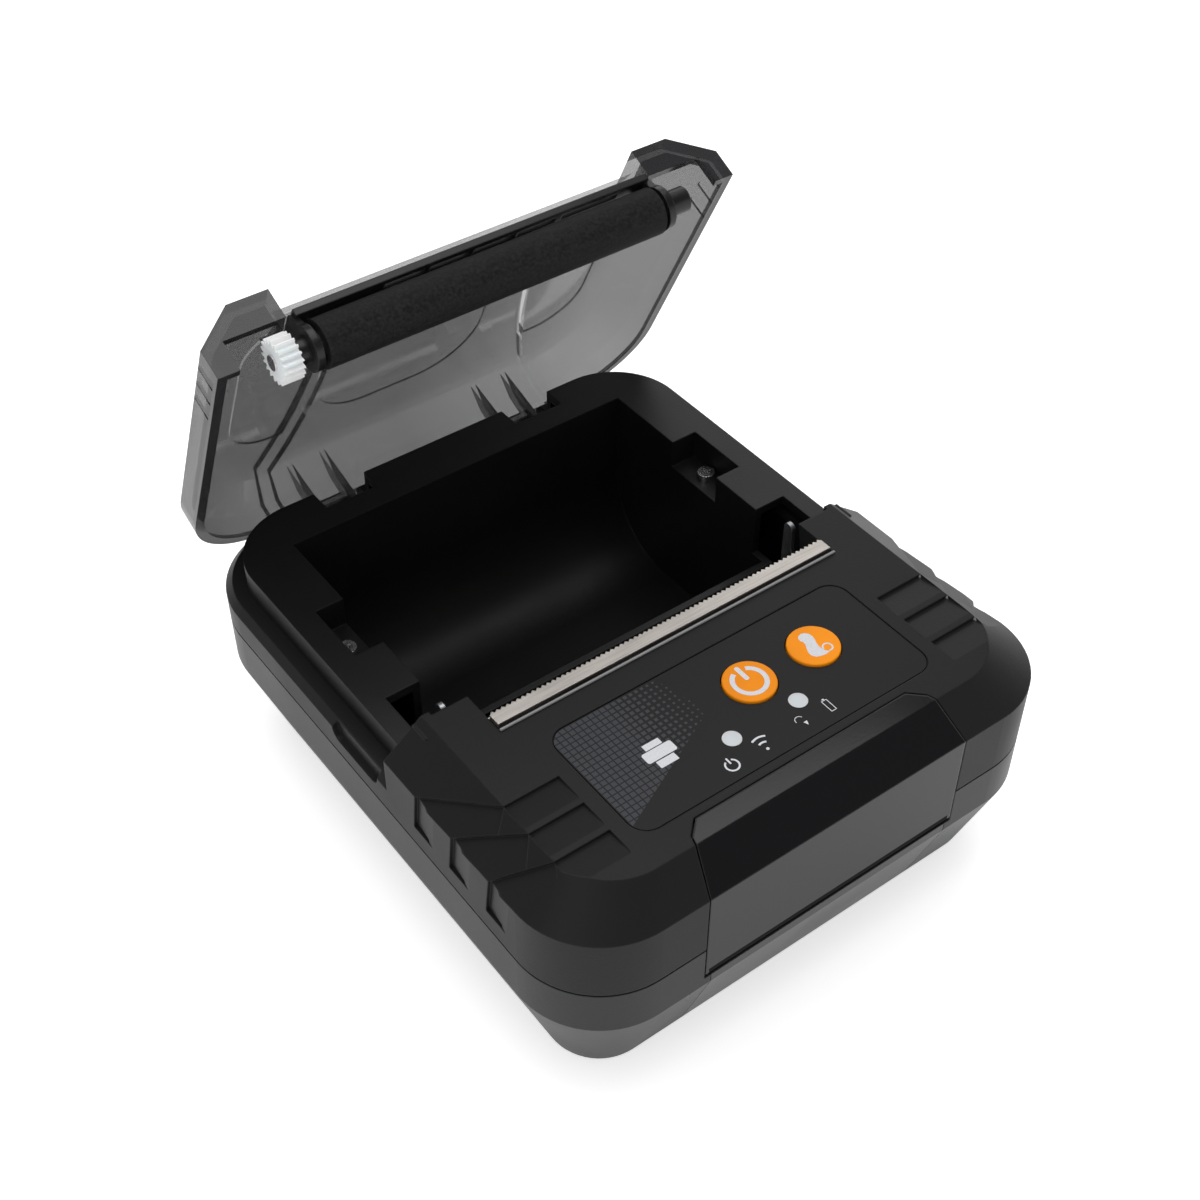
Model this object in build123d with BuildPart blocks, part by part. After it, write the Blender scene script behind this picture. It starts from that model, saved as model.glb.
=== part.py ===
"""Portable label printer with an open, smoked lid that carries the platen roller.

The origin is the centre of the flat underside. +X is to the right seen from the front, the front
faces -Y, and +Z is up. Millimetres.
"""

from build123d import *
import os
from math import atan2, cos, hypot, radians, sin, tan

os.makedirs("parts", exist_ok=True)

# Body outline, seen from above
body_width = 114.0
body_depth = 134.5
front_corner = 17.5
rear_corner = 20.0
foot_inset = 7.5  # how far the slanted lower walls draw in at the underside
bottom_round = 3.0
front_face = -body_depth / 2
rear_face = body_depth / 2

# Heights above the underside, the upper ones counted down from the flat top
waist_height = 21.4  # the slanted lower walls turn upright here
top_height = 52.0
bevel_rise = 6.5
deck_drop = 7.0
ledge_drop = 13.0
parting_drop = 20.5
bevel_height = top_height - bevel_rise
deck_height = top_height - deck_drop
ledge_height = top_height - ledge_drop  # the lid's walls close onto this ledge
parting_height = top_height - parting_drop

# Bevel between the upright walls and the flat top
side_bevel = 8.4
front_bevel = 6.8
rear_bevel = 3.4
top_front_corner = 13.0
top_rear_corner = 16.0

# Walls, seams and clearances
wall = 2.2
seam = 0.4  # open line between two outer mouldings
fit = 0.25  # gap round a piece that sits in a recess
slide = 0.3  # gap round a piece that moves past another

# Cover over the electronics, and the paper exit in its rear edge
cover_depth = 58.35
side_margin = 16.0  # room beside the roll well for the gears and the pockets
tub_wall = 1.6
exit_depth = 7.3
cover_rear = front_face + cover_depth
paper_half = body_width / 2 - side_margin
exit_half = paper_half - tub_wall
tear_edge = cover_rear - exit_depth
tear_depth = 3.2
tear_height = 1.6
tear_pitch = 1.1
tear_tooth = 0.5

# Lid and its hinge
lid_wall = 2.0
lid_open = 64.0  # degrees from shut to the open stop, the rest pose
hinge_inset = 3.0
hinge_pin_radius = 1.25
knuckle_radius = 2.7
notch_floor = 0.8
knuckle_gap = 0.5
arm_x = 23.65
arm_width = 9.3
arm_rib = 1.3
knuckle_length = 2.0
notch_width = 12.1
notch_depth = 9.9
lid_lip = 4.3  # how far the lid's middle stands back from its two ears
lip_drop = 2.2
lip_slope = 8.0
ear_wall = 1.6
plateau_rise = 1.2
hinge_y = rear_face - hinge_inset
hinge_z = parting_height + notch_floor + knuckle_gap + knuckle_radius

# Platen roller, with the lid shut
platen_radius = 4.7
platen_core = 2.6
shaft_radius = 1.5
bushing_radius = 2.6
bracket_thickness = 1.5
gear_face = 4.0
platen_y = cover_rear + 2.0
platen_z = ledge_height + 0.2
platen_half = exit_half - 2.2
bracket_inner = exit_half - 1.2
gear_outer_x = exit_half + 6.8  # left end face of the platen gear, left of centre

# Roll well in the paper tub
well_floor = 6.0
well_front_run = 8.0  # how far the front wall leans
well_front = cover_rear + 10.1
well_rear = rear_face - 15.65
well_lip = platen_z - 6.2  # height of the well's front edge
well_round = min(20.0, 0.4 * (well_rear - well_front))
deck_thickness = 2.0

# Gear train from the stepper motor
module = 0.42
platen_teeth = 19
idler_teeth = 24
small_teeth = 16
large_teeth = 32
pinion_teeth = 14
mesh_play = 0.08

# Print mechanism
sheet = 1.0
chassis_left = exit_half + 1.8
chassis_right = exit_half + 5.6
chassis_front = tear_edge - 4.4
chassis_rear = well_front - 2.4
head_gap = 0.15
head_thickness = 1.0
sink_thickness = 2.25
head_half = exit_half - 0.4
motor_radius = 6.2
motor_length = 16.0
motor_shaft_radius = 0.75
frame_foot = 4.0
frame_screw_at = [(-chassis_left + 25.2, chassis_front + 10.6), (chassis_right - 15, chassis_front + 10.6)]

# Keys, lamps and label film on the cover
label_centre = front_face + 27.25
label_width = body_width - 45.8
label_height = 28.1
label_corner = 4.0
label_depth = 0.4
key_radius = 5.1
key_travel = 0.5
power_key_at = (3.5, label_centre + 2.7)
feed_key_at = (18.9, label_centre + 2.7)
lamp_radius = 1.8
left_lamp_at = (-7.7, label_centre - 5.8)
right_lamp_at = (7.7, label_centre - 5.8)

# Battery and its sliding door
door_half = 28.2
door_wall = 1.6
door_rear = chassis_front - 1.8
door_top = 23.4
door_lift = 0.3  # the door stands this far above the table
slot_height = 1.0
door_rail = 2.0  # rails on the door that hold the battery
battery_half = door_half - door_rail - 0.4
cell_wrap = 0.35
battery_gap = 1.0
battery_front = front_face + 8.75
cell_radius = (door_rear - battery_gap - battery_front - 2 * cell_wrap) / 4

# Fasteners
screw_radius = 1.0
screw_head = 1.9
screw_head_height = 1.4
boss_radius = 3.0
boss_x = body_width / 2 - 10.5
front_boss_y = front_face + 17.25
rear_boss_y = rear_face - 21.25
tub_screw_x = paper_half + 3.9
tub_screw_y = (well_front + well_rear) / 2 - 1.4
pocket_floor = deck_height - 6.7


# Planes and outlines that several pieces share
def level(height):
    return Plane.XY.offset(height)


def side_plane(x):
    """Upright plane facing +X, drawn in (y, z)."""
    return Plane(origin=(x, 0, 0), x_dir=(0, 1, 0), z_dir=(1, 0, 0))


turn = radians(lid_open)


def lid_level(height):
    """Plane parallel to the lid, at the height it has when the lid is shut."""
    at_hinge = Plane(origin=(0, hinge_y, hinge_z), x_dir=(1, 0, 0), z_dir=(0, sin(turn), cos(turn)))
    return at_hinge.offset(height - hinge_z)


def lid_side(x):
    """Upright plane facing +X that swings with the lid, drawn with shut() points."""
    return Plane(origin=(x, hinge_y, hinge_z), x_dir=(0, cos(turn), -sin(turn)), z_dir=(1, 0, 0))


def shut(y, z):
    """A point's place when the lid is shut, as a point on a lid_side plane."""
    return (y - hinge_y, z - hinge_z)


def plan(plane, side=0.0, front=0.0, rear=0.0, front_round=front_corner, rear_round=rear_corner):
    """The body's outline drawn in from its sides, front and rear."""
    with BuildSketch(plane) as outline:
        with Locations((0, (front - rear) / 2)):
            Rectangle(body_width - 2 * side, body_depth - front - rear)
        fillet(outline.vertices().group_by(Axis.Y)[0], front_round)
        fillet(outline.vertices().group_by(Axis.Y)[-1], rear_round)
    return outline.sketch


def inset_plan(plane, inset):
    return plan(plane, inset, inset, inset, front_corner - inset, rear_corner - inset)


def half_turn(run, rise):
    """Tangent of half the angle between an upright wall and a bevel."""
    return tan(atan2(run, rise) / 2)


def body_block(inset):
    """The whole printer's closed outer form, drawn in by a wall all round."""
    foot = foot_inset * (1 - inset / waist_height) + inset
    shoulder = bevel_height - inset * half_turn(side_bevel, top_height - bevel_height)
    crown = inset * tan(atan2(top_height - bevel_height, side_bevel) / 2)
    with BuildPart() as block:
        loft([inset_plan(level(inset), foot).face(), inset_plan(level(waist_height), inset).face()],
             ruled=True)
        extrude(inset_plan(level(waist_height), inset), amount=shoulder - waist_height)
        top = plan(level(top_height - inset), side_bevel + crown, front_bevel + crown,
                   rear_bevel + crown, top_front_corner - crown, top_rear_corner - crown)
        loft([inset_plan(level(shoulder), inset).face(), top.face()], ruled=True)
        if inset == 0:
            fillet(block.faces().sort_by(Axis.Z)[0].edges(), bottom_round)
    return block.part


outer_form = body_block(0)
inner_form = body_block(wall)


def slab(low, high, x_range, y_range):
    """A box between two corners."""
    with BuildPart() as box:
        with BuildSketch(level(low)):
            with Locations(((x_range[0] + x_range[1]) / 2, (y_range[0] + y_range[1]) / 2)):
                Rectangle(x_range[1] - x_range[0], y_range[1] - y_range[0])
        extrude(amount=high - low)
    return box.part


def save(part, name):
    part.label = name
    export_step(part, f"parts/{name}.step")


# Front panel: a trim plate let into the bevel and the front wall
panel_wall = 1.2
panel_half_low = 29.8
panel_half_mid = 27.3
panel_half_top = 24.4
panel_top_y = front_face + 11.45
panel_mid_y = front_face + 8.65
slot_top = door_top + slot_height


def panel_region(low, gap):
    half_low, half_mid, half_top = panel_half_low - gap, panel_half_mid - gap, panel_half_top - gap
    with BuildPart() as region:
        with BuildSketch(level(low)):
            Polygon((-half_top, panel_top_y - gap), (half_top, panel_top_y - gap),
                    (half_mid, panel_mid_y - gap), (half_low, front_face), (half_low, -body_depth),
                    (-half_low, -body_depth), (-half_low, front_face), (-half_mid, panel_mid_y - gap),
                    align=None)
        extrude(amount=top_height - low + 1)
    return region.part


with BuildPart() as panel_recess:
    add(panel_region(door_top, 0))
    add(body_block(panel_wall + seam / 4), mode=Mode.SUBTRACT)

with BuildPart() as front_panel:
    add(panel_region(slot_top, fit))
    add(outer_form, mode=Mode.INTERSECT)
    add(body_block(panel_wall), mode=Mode.SUBTRACT)
save(front_panel.part, "front_panel")

# Lower housing: the slanted tray with its screw bosses and battery opening
floor_top = wall
board_height = 23.6
board_post_x = body_width / 2 - 20
board_post_front = front_face + 10.25
board_post_rear = door_rear - 4.6
socket_y = front_face + 27.25
socket_width = 9.0
socket_height = 3.3
socket_z = board_height + 1.6 + socket_height / 2
bay_rib_x = door_half + 4.8
corner_bosses = [(x, y) for x in (-boss_x, boss_x) for y in (front_boss_y, rear_boss_y)]
board_posts = [(x, y) for x in (-board_post_x, board_post_x) for y in (board_post_front, board_post_rear)]
tub_screws = [(-tub_screw_x, tub_screw_y), (tub_screw_x, tub_screw_y)]

with BuildPart() as lower_housing:
    add(outer_form)
    add(inner_form, mode=Mode.SUBTRACT)
    split(bisect_by=level(parting_height), keep=Keep.BOTTOM)
    with BuildSketch(level(floor_top)):
        with Locations(*corner_bosses):
            Circle(boss_radius)
    extrude(amount=parting_height - floor_top)
    with BuildSketch(level(floor_top)):
        with Locations(*board_posts):
            Circle(boss_radius)
    extrude(amount=board_height - floor_top)
    with BuildSketch(level(floor_top)):
        with Locations(*tub_screws):
            Circle(tub_screw_x - paper_half - tub_wall - 0.1)
    extrude(amount=pocket_floor - 2 - floor_top)
    with BuildSketch(level(floor_top)):
        with Locations(*frame_screw_at):
            Circle(boss_radius)
    extrude(amount=frame_foot - floor_top)
    with BuildSketch(level(floor_top)):
        with Locations((-bay_rib_x, (board_post_rear + board_post_front) / 2),
                       (bay_rib_x, (board_post_rear + board_post_front) / 2)):
            Rectangle(tub_wall, board_post_rear - board_post_front - 2 * boss_radius)
    extrude(amount=cell_radius)
    add(slab(-1, slot_top - slot_height / 2, (-door_half - fit / 2, door_half + fit / 2),
             (-body_depth, door_rear + fit)), mode=Mode.SUBTRACT)
    add(panel_recess.part, mode=Mode.SUBTRACT)
    # screw holes, from below for the housing and from above for the board and the tub
    with BuildSketch(level(-1)):
        with Locations(*corner_bosses):
            Circle(screw_radius + 0.2)
    extrude(amount=parting_height + 2, mode=Mode.SUBTRACT)
    with BuildSketch(level(-1)):
        with Locations(*corner_bosses):
            Circle(screw_head + fit)
    extrude(amount=floor_top + 2, mode=Mode.SUBTRACT)
    with BuildSketch(level(board_height - 8)):
        with Locations(*board_posts):
            Circle(screw_radius)
    extrude(amount=9, mode=Mode.SUBTRACT)
    with BuildSketch(level(pocket_floor - 11)):
        with Locations(*tub_screws):
            Circle(screw_radius)
    extrude(amount=12, mode=Mode.SUBTRACT)
    with BuildSketch(level(1.0)):
        with Locations(*frame_screw_at):
            Circle(screw_radius)
    extrude(amount=frame_foot, mode=Mode.SUBTRACT)
    # charging socket opening in the right wall
    with BuildSketch(side_plane(body_width / 2 - wall - 1)):
        with Locations((socket_y, socket_z)):
            RectangleRounded(socket_width + 2 * fit, socket_height + 2 * fit, 1.2)
    extrude(amount=wall + 2, mode=Mode.SUBTRACT)
save(lower_housing.part, "lower_housing")

# Grip steps: three raked ramps on each side of the cover
grip_depth = 0.7
grip_ramp = 6.0
grip_inner_x = label_width / 2 + 3.1
grip_top_y = label_centre + 5.2
grip_top_pitch = 7.3
grip_side_y = cover_rear - 10.3
grip_side_pitch = 11.4
grip_low = ledge_height - 2.2
grip_hook = 4.6

with BuildPart() as grip_cuts:
    for number in range(3):
        top_y = grip_top_y - number * grip_top_pitch
        side_y = grip_side_y - number * grip_side_pitch
        knee = Vector(body_width / 2 - side_bevel, top_y, top_height)
        edge = Vector(body_width / 2, side_y, bevel_height)
        runs = [
            (Vector(grip_inner_x, top_y, top_height), knee, Vector(0, 0, 1)),
            (knee, edge, Vector(top_height - bevel_height, 0, side_bevel)),
            (edge, Vector(body_width / 2, side_y + 1.2, grip_low), Vector(1, 0, 0)),
        ]
        for start, end, outward in runs:
            along = end - start
            with BuildSketch(Plane(origin=start, x_dir=outward.cross(along), z_dir=along)):
                Polygon((0, -grip_depth), (0, 1), (-grip_ramp, 1), (-grip_ramp, 0), align=None)
            extrude(amount=along.length)
        add(slab(grip_low - 0.6, grip_low + 0.2, (body_width / 2 - grip_depth, body_width / 2 + 1),
                 (side_y + 1.2 - grip_hook, side_y + 1.2)))
    mirror(about=Plane.YZ)

# Key board, on two posts under the cover
key_board_width = 64.0
key_board_depth = 24.0
key_board_height = top_height - 7.8
key_board_thickness = 1.2
key_post_x = 28.0
key_screw_reach = 4.0

# Hinge notches in the rear edge, one on each side
hinge_arms = (-arm_x, arm_x)
hinge_cheek = 3.0


def hinge_notches(low, front):
    with BuildPart() as notches:
        for x in hinge_arms:
            add(slab(low, top_height, (x - notch_width / 2, x + notch_width / 2),
                     (front, rear_face + 1)))
    return notches.part


# Upper housing: cover over the electronics, and the ledge round the paper tub
with BuildPart() as shadow_line:
    extrude(inset_plan(level(parting_height), -1), amount=seam)
    extrude(inset_plan(level(parting_height), wall / 3), amount=seam, mode=Mode.SUBTRACT)

ledge_thickness = 2.2
ledge_width = 6.5
ledge_chamfer = 1.5
pocket_half = exit_half + 9.0
pocket_rear = well_front + 3.2
scoop_front = cover_rear + 3.4
scoop_rear = cover_rear + 19.4

with BuildPart() as ledge:
    extrude(inset_plan(level(ledge_height - ledge_thickness), wall / 2), amount=ledge_thickness)
    extrude(inset_plan(level(ledge_height - ledge_thickness), ledge_width), amount=ledge_thickness,
            mode=Mode.SUBTRACT)
    add(slab(0, top_height, (-body_width, body_width), (-body_depth, cover_rear)), mode=Mode.SUBTRACT)

with BuildPart() as bulkhead:
    add(body_block(wall / 2))
    add(slab(ledge_height - ledge_thickness, top_height, (-body_width, body_width),
             (cover_rear - wall, cover_rear)), mode=Mode.INTERSECT)
    add(slab(0, bevel_height, (-pocket_half, pocket_half), (-body_depth, body_depth)),
        mode=Mode.SUBTRACT)

relief_x = gear_outer_x + 0.8
relief_reach = hypot(hinge_y - platen_y, platen_z - hinge_z) + module * (platen_teeth / 2 + 0.9) + slide

with BuildPart() as upper_housing:
    add(outer_form)
    add(inner_form, mode=Mode.SUBTRACT)
    split(bisect_by=level(parting_height), keep=Keep.TOP)
    add(slab(ledge_height, top_height + 1, (-body_width, body_width), (cover_rear, body_depth)),
        mode=Mode.SUBTRACT)
    add(ledge.part)
    add(bulkhead.part)
    # paper exit between the cover and the lid, with a cheek at each end
    for side in (-1, 1):
        inner, outer = sorted((side * exit_half, side * (exit_half + tub_wall)))
        add(slab(bevel_height, top_height - wall / 2, (inner, outer), (tear_edge, cover_rear)))
        inner, outer = sorted((side * exit_half, side * (pocket_half + wall)))
        add(slab(bevel_height, top_height - wall / 2, (inner, outer), (cover_rear - 2 * wall, cover_rear)))
    add(slab(bevel_height, top_height - wall / 2, (-exit_half, exit_half),
             (tear_edge - tear_depth, tear_edge - tear_depth + tub_wall)))
    add(slab(0, top_height + 1, (-exit_half, exit_half), (tear_edge, cover_rear + 1)),
        mode=Mode.SUBTRACT)
    add(slab(top_height - tear_height / 2, top_height + 1, (-exit_half, exit_half),
             (tear_edge - tear_depth - fit, tear_edge)), mode=Mode.SUBTRACT)
    # relief for the platen's ends, as they swing about the hinge
    for start in (-relief_x, exit_half - 0.1):
        with BuildSketch(side_plane(start)):
            with Locations((hinge_y, hinge_z)):
                Circle(relief_reach)
                Rectangle(3 * relief_reach, 2 * bevel_height - 2 * hinge_z, mode=Mode.SUBTRACT)
        extrude(amount=relief_x - exit_half + 0.1, mode=Mode.SUBTRACT)
    # small lip in front of the tear bar
    add(slab(top_height - wall / 2, top_height + 0.5, (-exit_half, exit_half),
             (tear_edge - tear_depth - 1.2, tear_edge - tear_depth - 0.6)))
    # posts that carry the key board
    with BuildSketch(level(key_board_height + key_board_thickness)):
        with Locations((-key_post_x, label_centre), (key_post_x, label_centre)):
            Circle(boss_radius)
    extrude(amount=top_height - wall / 2 - key_board_height - key_board_thickness)
    with BuildSketch(level(key_board_height)):
        with Locations((-key_post_x, label_centre), (key_post_x, label_centre)):
            Circle(screw_radius)
    extrude(amount=key_screw_reach + 0.2, mode=Mode.SUBTRACT)
    # rear hinge blocks
    for x in hinge_arms:
        add(slab(parting_height, ledge_height - ledge_thickness / 2,
                 (x - notch_width / 2 - hinge_cheek, x + notch_width / 2 + hinge_cheek),
                 (hinge_y - knuckle_radius - 1, rear_face - wall / 2)))
    rear_edge = upper_housing.edges().filter_by(GeomType.LINE).filter_by(Axis.X).filter_by(
        lambda edge: abs(edge.center().Z - ledge_height) < 0.01 and edge.center().Y > rear_face - 0.1)
    chamfer(rear_edge, ledge_chamfer)
    add(hinge_notches(parting_height + notch_floor, rear_face - notch_depth), mode=Mode.SUBTRACT)
    for x in hinge_arms:
        with BuildSketch(side_plane(x - notch_width / 2 - hinge_cheek - 1)):
            with Locations((hinge_y, hinge_z)):
                Circle(hinge_pin_radius + 0.02)
        extrude(amount=notch_width + 2 * hinge_cheek + 2, mode=Mode.SUBTRACT)
    # bosses that meet the lower housing's, the rear ones tied to the wall by a rib
    with BuildSketch(level(parting_height)):
        with Locations(*[at for at in corner_bosses if at[1] < 0]):
            Circle(boss_radius)
    extrude(amount=top_height - wall / 2 - parting_height)
    for side in (-1, 1):
        with BuildSketch(level(parting_height)):
            with Locations((side * boss_x, rear_boss_y)):
                Circle(boss_radius)
        extrude(amount=ledge_height - ledge_thickness / 2 - parting_height)
        inner, outer = sorted((side * boss_x, side * (body_width / 2 - wall / 2)))
        add(slab(parting_height, ledge_height - ledge_thickness / 2, (inner, outer),
                 (rear_boss_y - 1, rear_boss_y + 1)))
    with BuildSketch(level(parting_height)):
        with Locations(*corner_bosses):
            Circle(screw_radius)
    extrude(amount=5, mode=Mode.SUBTRACT)
    add(shadow_line.part, mode=Mode.SUBTRACT)
    add(panel_recess.part, mode=Mode.SUBTRACT)
    add(grip_cuts.part, mode=Mode.SUBTRACT)
    # finger scoops below the lid's front corners
    for side in (-1, 1):
        with BuildSketch(side_plane(side * body_width / 2)):
            with Locations(((scoop_front + scoop_rear) / 2, ledge_height - 1.6)):
                SlotOverall(scoop_rear - scoop_front, 4.4)
        extrude(amount=1.2, both=True, mode=Mode.SUBTRACT)
    # recess for the label film, and holes for the keys and lamps
    with BuildSketch(level(top_height - label_depth)):
        with Locations((0, label_centre)):
            RectangleRounded(label_width, label_height, label_corner)
    extrude(amount=1, mode=Mode.SUBTRACT)
    with BuildSketch(level(top_height - wall - 1)):
        with Locations(power_key_at, feed_key_at):
            Circle(key_radius + fit)
        with Locations(left_lamp_at, right_lamp_at):
            Circle(lamp_radius + 0.05)
    extrude(amount=wall + 2, mode=Mode.SUBTRACT)
save(upper_housing.part, "upper_housing")


# Label film with openings for the keys and lamps
film_thickness = 0.3
with BuildPart() as label_film:
    with BuildSketch(level(top_height - label_depth)):
        with Locations((0, label_centre)):
            RectangleRounded(label_width - 2 * fit, label_height - 2 * fit, label_corner - fit)
        with Locations(power_key_at, feed_key_at):
            Circle(key_radius + fit, mode=Mode.SUBTRACT)
        with Locations(left_lamp_at, right_lamp_at):
            Circle(lamp_radius + 0.05, mode=Mode.SUBTRACT)
    extrude(amount=film_thickness)
save(label_film.part, "label_film")

# Key caps with a flange that keeps them in, and the switches under them
key_proud = 0.4
key_flange = 0.8
switch_size = 6.0
switch_height = 2.0
plunger_radius = 1.6
cover_underside = top_height - wall
key_foot = cover_underside - key_flange - 0.1


def key_cap(at):
    with BuildPart() as cap:
        with BuildSketch(level(key_foot)):
            with Locations(at):
                Circle(key_radius + 0.9)
        extrude(amount=key_flange)
        with BuildSketch(level(key_foot)):
            with Locations(at):
                Circle(key_radius)
        extrude(amount=top_height + key_proud - key_foot)
        fillet(cap.edges().group_by(Axis.Z)[-1], 0.25)
    return cap.part


save(key_cap(power_key_at), "power_key")
save(key_cap(feed_key_at), "feed_key")

with BuildPart() as key_switches:
    with BuildSketch(level(key_board_height + key_board_thickness)):
        with Locations(power_key_at, feed_key_at):
            RectangleRounded(switch_size, switch_size, 0.6)
    extrude(amount=switch_height)
    with BuildSketch(level(key_board_height + key_board_thickness + switch_height)):
        with Locations(power_key_at, feed_key_at):
            Circle(plunger_radius)
    extrude(amount=key_foot - key_travel - 0.1 - key_board_height - key_board_thickness - switch_height)
save(key_switches.part, "key_switches")


# Lamp lenses, light pipes that stand over the board's two lamps
def lamp_lens(at):
    with BuildPart() as lens:
        with BuildSketch(level(key_board_height + key_board_thickness + 1)):
            with Locations(at):
                Circle(lamp_radius)
        extrude(amount=top_height - 0.1 - key_board_height - key_board_thickness - 1)
    return lens.part


save(lamp_lens(left_lamp_at), "left_lamp_lens")
save(lamp_lens(right_lamp_at), "right_lamp_lens")

with BuildPart() as key_board:
    with BuildSketch(level(key_board_height)):
        with Locations((0, label_centre)):
            RectangleRounded(key_board_width, key_board_depth, 1.0)
        with Locations((-key_post_x, label_centre), (key_post_x, label_centre)):
            Circle(screw_radius + 0.2, mode=Mode.SUBTRACT)
    extrude(amount=key_board_thickness)
    with BuildSketch(level(key_board_height + key_board_thickness)):
        with Locations(left_lamp_at, right_lamp_at):
            Rectangle(1.6, 0.8)
    extrude(amount=0.8)
save(key_board.part, "key_board")

# Tear bar with a saw-toothed rear edge
with BuildPart() as tear_bar:
    with BuildSketch(level(top_height - tear_height / 2)):
        with Locations((0, tear_edge - tear_depth / 2 - tear_tooth / 2)):
            Rectangle(2 * (exit_half - fit), tear_depth - tear_tooth)
        teeth = int((2 * (exit_half - fit)) / tear_pitch)
        with Locations(*[((n - (teeth - 1) / 2) * tear_pitch, tear_edge - tear_tooth)
                         for n in range(teeth)]):
            Polygon((-tear_pitch / 2, -0.01), (tear_pitch / 2, -0.01), (0, tear_tooth), align=None)
    extrude(amount=tear_height)
save(tear_bar.part, "tear_bar")

# Paper tub: deck, skirt and the curved roll well in one moulding
deck_inset = lid_wall + 2.4
pocket_width = 6.2
pocket_y = (tub_screw_y - 7.8, tub_screw_y + 7.0)
with BuildPart() as well_outer:
    with BuildSketch(side_plane(-paper_half - tub_wall)):
        with BuildLine():
            FilletPolyline((well_rear + tub_wall, deck_height), (well_rear + tub_wall, well_floor - tub_wall),
                           (well_front + well_front_run, well_floor - tub_wall),
                           (well_front - tub_wall, well_lip), radius=well_round)
            Line((well_front - tub_wall, well_lip), (well_front - tub_wall, deck_height))
            Line((well_front - tub_wall, deck_height), (well_rear + tub_wall, deck_height))
        make_face()
    extrude(amount=2 * (paper_half + tub_wall))
with BuildPart() as well_inner:
    with BuildSketch(side_plane(-paper_half)):
        with BuildLine():
            FilletPolyline((well_rear, deck_height + 1), (well_rear, well_floor),
                           (well_front + well_front_run, well_floor), (well_front, well_lip),
                           radius=well_round - tub_wall)
            Line((well_front, well_lip), (well_front, deck_height + 1))
            Line((well_front, deck_height + 1), (well_rear, deck_height + 1))
        make_face()
    extrude(amount=2 * paper_half)

with BuildPart() as paper_tub:
    extrude(inset_plan(level(ledge_height), deck_inset), amount=deck_height - ledge_height)
    extrude(inset_plan(level(ledge_height - 1), deck_inset + tub_wall),
            amount=deck_height - deck_thickness - ledge_height + 1, mode=Mode.SUBTRACT)
    add(slab(0, deck_height + 1, (-body_width, body_width), (-body_depth, cover_rear + seam)),
        mode=Mode.SUBTRACT)
    add(well_outer.part)
    for side in (-1, 1):
        inner, outer = sorted((side * (paper_half - 0.1), side * (paper_half + pocket_width + tub_wall)))
        add(slab(pocket_floor - 2, deck_height - 0.5, (inner, outer),
                 (pocket_y[0] - tub_wall, pocket_y[1] + tub_wall)))
        inner, outer = sorted((side * (paper_half - 1), side * (paper_half + pocket_width)))
        add(slab(pocket_floor, deck_height + 1, (inner, outer), pocket_y), mode=Mode.SUBTRACT)
        inner, outer = sorted((side * exit_half, side * pocket_half))
        add(slab(well_lip, deck_height + 1, (inner, outer), (cover_rear, pocket_rear)),
            mode=Mode.SUBTRACT)
    add(well_inner.part, mode=Mode.SUBTRACT)
    add(slab(well_lip, deck_height + 1, (-exit_half - 1, exit_half + 1), (-body_depth, well_front + 1)),
        mode=Mode.SUBTRACT)
    with BuildSketch(level(pocket_floor - 3)):
        with Locations(*tub_screws):
            Circle(screw_radius + 0.2)
    extrude(amount=4, mode=Mode.SUBTRACT)
    add(hinge_notches(0, rear_face - notch_depth), mode=Mode.SUBTRACT)
save(paper_tub.part, "paper_tub")

# Battery door: the sliding base plate with the front lip below the slot
door_tab = 3.3
tab_low = wall + fit
tab_height = 1.0
tab_front = front_face + 15.25
with BuildPart() as battery_door:
    add(slab(door_lift, door_top, (-door_half, door_half), (-body_depth, door_rear)))
    add(outer_form, mode=Mode.INTERSECT)
    add(body_block(door_wall), mode=Mode.SUBTRACT)
    for side in (-1, 1):
        inner, outer = sorted((side * (door_half - door_rail), side * (door_half - 0.3)))
        add(slab(door_wall - 0.5, tab_low + tab_height, (inner, outer), (tab_front, door_rear - 3)))
        inner, outer = sorted((side * (door_half - door_rail), side * (door_half + door_tab)))
        add(slab(tab_low, tab_low + tab_height, (inner, outer), (tab_front, door_rear - 3)))
    with BuildSketch(level(-1)):
        with GridLocations(0, 3.0, 1, 5):
            with Locations((0, label_centre)):
                Rectangle(20, 1.0)
    extrude(amount=door_lift + 1.4, mode=Mode.SUBTRACT)
save(battery_door.part, "battery_door")

# Battery pack: two cells side by side in a wrap
battery_bottom = door_wall + slide
battery_y = door_rear - battery_gap - 2 * cell_radius - cell_wrap
cells = [(battery_y - cell_radius, battery_bottom + cell_wrap + cell_radius),
         (battery_y + cell_radius, battery_bottom + cell_wrap + cell_radius)]
with BuildPart() as battery_pack:
    with BuildSketch(side_plane(-battery_half)):
        with Locations(*cells):
            Circle(cell_radius + cell_wrap)
        with Locations((battery_y, cells[0][1])):
            Rectangle(2 * cell_radius, 2 * (cell_radius + cell_wrap))
    extrude(amount=2 * battery_half)
save(battery_pack.part, "battery_pack")

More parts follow.
